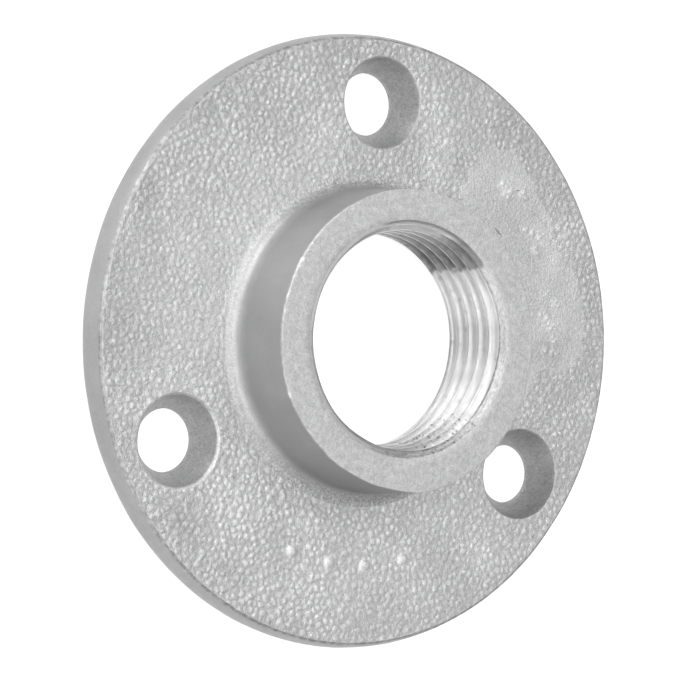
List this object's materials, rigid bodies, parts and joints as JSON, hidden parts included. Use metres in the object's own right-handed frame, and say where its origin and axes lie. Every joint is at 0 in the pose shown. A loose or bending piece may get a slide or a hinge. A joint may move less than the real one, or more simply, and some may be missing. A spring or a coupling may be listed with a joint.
{
  "type": "threaded floor flange",
  "caption": "Round cast flange with a short internally threaded hub, crowned rim and countersunk screw holes, for standing a pipe on a floor or wall.",
  "frame": {"origin": "centre of the plate's flat back face, on the bore axis", "axes": "+Z along the bore axis out of the hub, +Y through the centre of one screw hole"},
  "size_m": [0.086, 0.086, 0.0163],
  "materials": {
    "galvanised_casting": "galvanised, fine sand-cast grain on the plate, cut metal in the bore"
  },
  "bodies": {
    "root": {"floor_flange": "galvanised_casting"}
  },
  "joints": []
}
